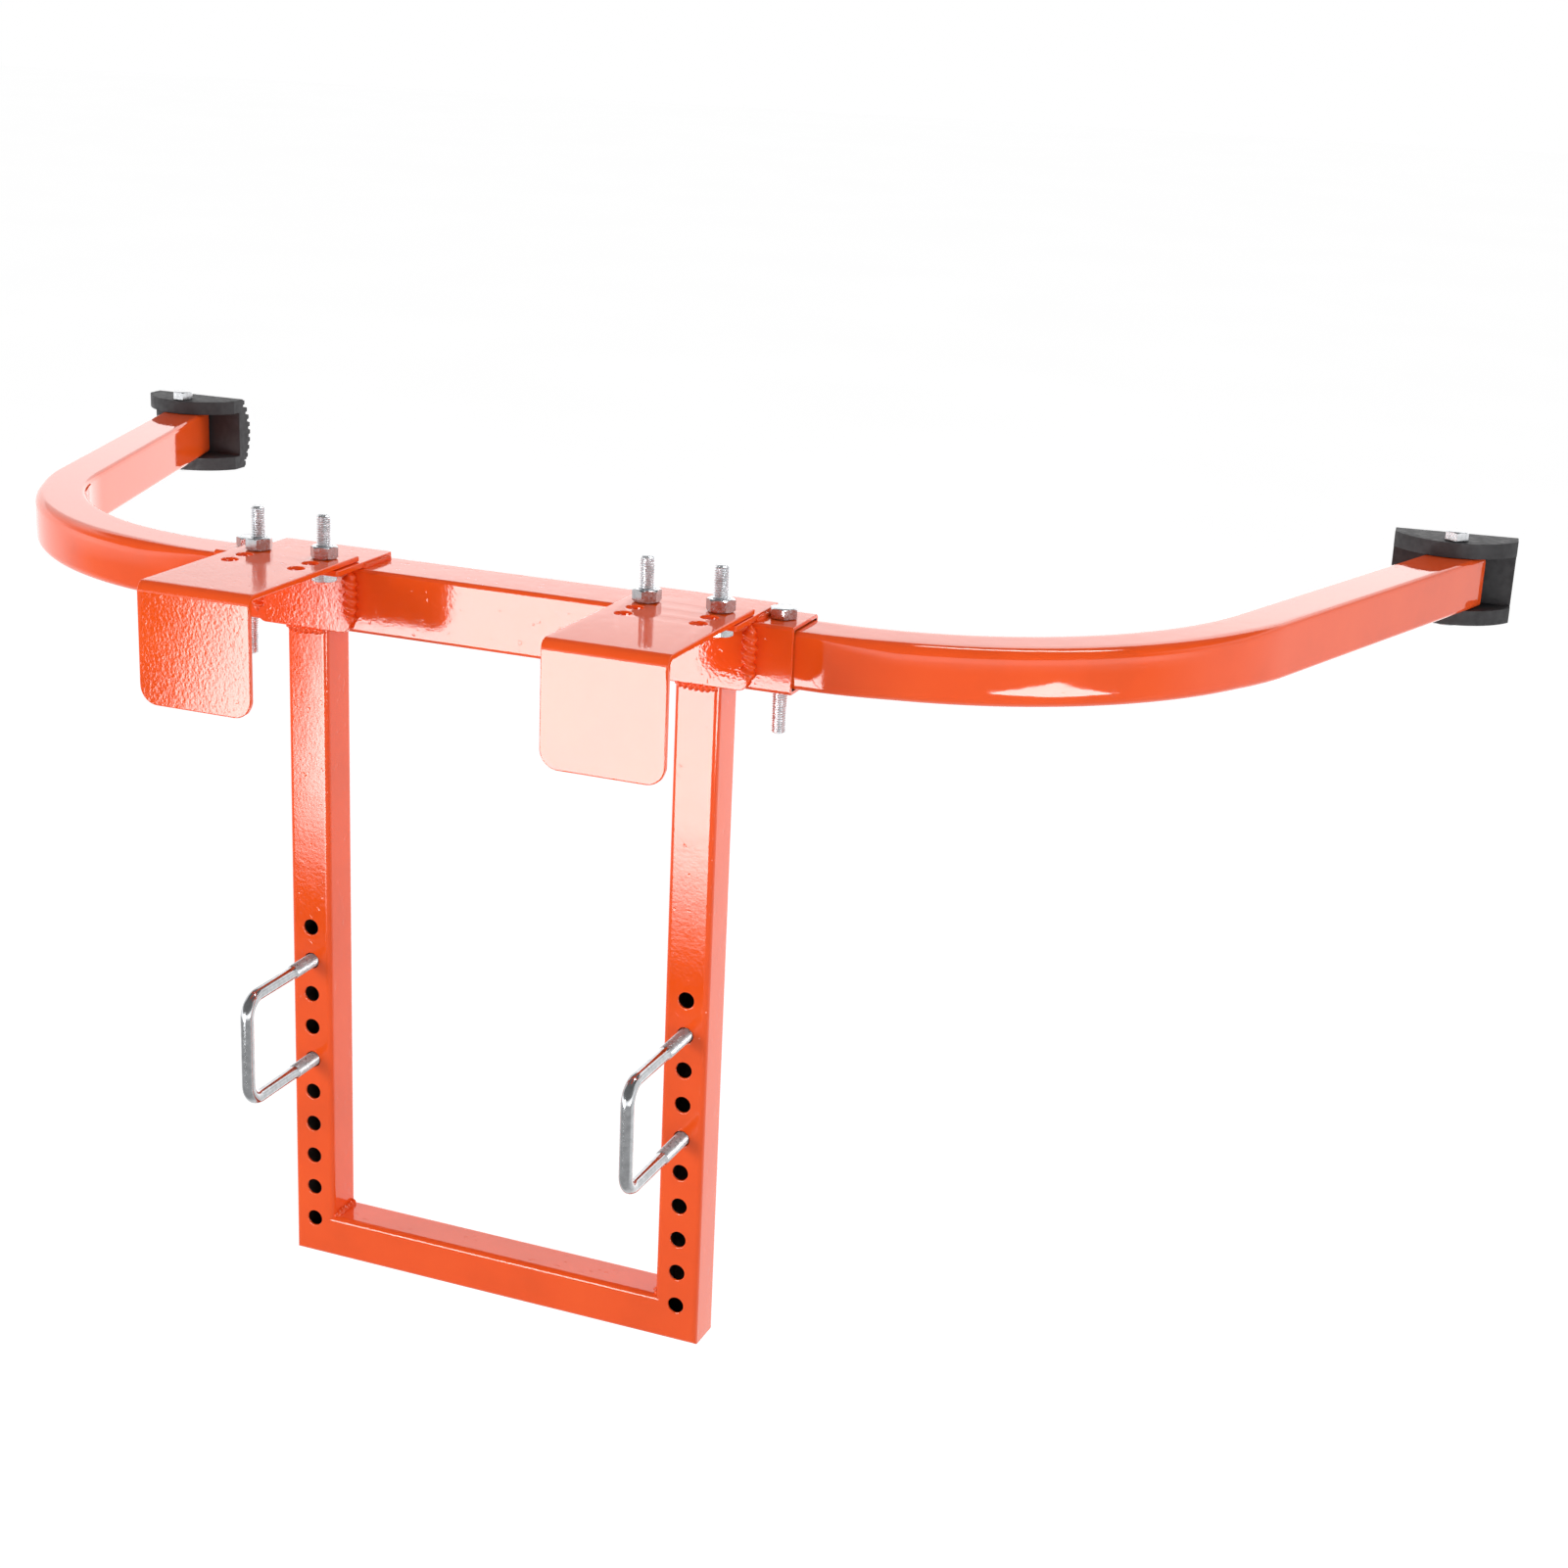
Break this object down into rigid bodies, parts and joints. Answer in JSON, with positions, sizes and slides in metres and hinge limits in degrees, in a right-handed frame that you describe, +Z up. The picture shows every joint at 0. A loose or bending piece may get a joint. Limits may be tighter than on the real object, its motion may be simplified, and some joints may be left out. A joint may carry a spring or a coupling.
{
  "type": "ladder stabilizer",
  "caption": "Ladder stabilizer: a welded tube frame with bolted hook plates and U-bolt clamps for a ladder, and curved arms with swivelling rubber wall feet.",
  "frame": {"origin": "middle of the crossbar's front face, where the ladder bears", "axes": "+X along the crossbar to the right arm, +Y back towards the wall, +Z up; the hooks reach along -Y over the ladder rung"},
  "size_m": [0.9457, 0.5115, 0.44],
  "materials": {
    "orange_powder_coat": "glossy powder coat with a light orange-peel texture",
    "zinc_plated_steel": "bright zinc plate",
    "black_rubber": "matte moulded rubber"
  },
  "bodies": {
    "frame": {"crossbar_sleeve": "orange_powder_coat", "bottom_bar": "orange_powder_coat", "leg_left": "orange_powder_coat", "base_plate_left": "orange_powder_coat", "front_plate_left": "orange_powder_coat", "hook_plate_left": "orange_powder_coat", "arm_left": "orange_powder_coat", "leg_right": "orange_powder_coat", "base_plate_right": "orange_powder_coat", "front_plate_right": "orange_powder_coat", "hook_plate_right": "orange_powder_coat", "arm_right": "orange_powder_coat", "hook_bolt_left_outer": "zinc_plated_steel", "hook_nut_left_outer": "zinc_plated_steel", "hook_bolt_left_inner": "zinc_plated_steel", "hook_nut_left_inner": "zinc_plated_steel", "arm_bolt_left": "zinc_plated_steel", "arm_weld_nut_left": "zinc_plated_steel", "foot_bolt_left": "zinc_plated_steel", "foot_nut_left": "zinc_plated_steel", "hook_bolt_right_outer": "zinc_plated_steel", "hook_nut_right_outer": "zinc_plated_steel", "hook_bolt_right_inner": "zinc_plated_steel", "hook_nut_right_inner": "zinc_plated_steel", "arm_bolt_right": "zinc_plated_steel", "arm_weld_nut_right": "zinc_plated_steel", "foot_bolt_right": "zinc_plated_steel", "foot_nut_right": "zinc_plated_steel"},
    "foot_left": {"foot_left": "black_rubber"},
    "clamp_left": {"ubolt_left": "zinc_plated_steel"},
    "clamp_nut_left_lower": {"ubolt_nut_left_lower": "zinc_plated_steel"},
    "clamp_nut_left_upper": {"ubolt_nut_left_upper": "zinc_plated_steel"},
    "foot_right": {"foot_right": "black_rubber"},
    "clamp_right": {"ubolt_right": "zinc_plated_steel"},
    "clamp_nut_right_lower": {"ubolt_nut_right_lower": "zinc_plated_steel"},
    "clamp_nut_right_upper": {"ubolt_nut_right_upper": "zinc_plated_steel"}
  },
  "joints": [
    {"name": "foot_left_swivel", "type": "hinge", "parent": "frame", "child": "foot_left", "pos_m": [-0.4385, 0.37255, 0], "axis": [0, 0, 1], "range_deg": [-12, 47]},
    {"name": "clamp_left_slide", "type": "slide", "parent": "frame", "child": "clamp_left", "axis": [0, 1, 0], "range_m": [-0.006, 0.02]},
    {"name": "clamp_nut_left_lower_turn", "type": "hinge", "parent": "frame", "child": "clamp_nut_left_lower", "pos_m": [-0.1104, 0.0285, -0.2705], "axis": [0, -1, 0], "range_deg": [-1729, 5761]},
    {"name": "clamp_nut_left_upper_turn", "type": "hinge", "parent": "frame", "child": "clamp_nut_left_upper", "pos_m": [-0.1104, 0.0285, -0.2105], "axis": [0, -1, 0], "range_deg": [-1729, 5761]},
    {"name": "foot_right_swivel", "type": "hinge", "parent": "frame", "child": "foot_right", "pos_m": [0.4385, 0.37255, 0], "axis": [0, 0, 1], "range_deg": [-53, 6]},
    {"name": "clamp_right_slide", "type": "slide", "parent": "frame", "child": "clamp_right", "axis": [0, 1, 0], "range_m": [0, 0.026]},
    {"name": "clamp_nut_right_lower_turn", "type": "hinge", "parent": "frame", "child": "clamp_nut_right_lower", "pos_m": [0.1176, 0.0285, -0.2705], "axis": [0, -1, 0], "range_deg": [-1, 7489]},
    {"name": "clamp_nut_right_upper_turn", "type": "hinge", "parent": "frame", "child": "clamp_nut_right_upper", "pos_m": [0.1176, 0.0285, -0.2105], "axis": [0, -1, 0], "range_deg": [-1, 7489]}
  ],
  "couplings": [
    {"joint": "clamp_nut_left_lower_turn", "follows": "clamp_left_slide", "rad_per_m": 5026.5},
    {"joint": "clamp_nut_left_upper_turn", "follows": "clamp_left_slide", "rad_per_m": 5026.5},
    {"joint": "clamp_nut_right_lower_turn", "follows": "clamp_right_slide", "rad_per_m": 5026.5},
    {"joint": "clamp_nut_right_upper_turn", "follows": "clamp_right_slide", "rad_per_m": 5026.5}
  ]
}
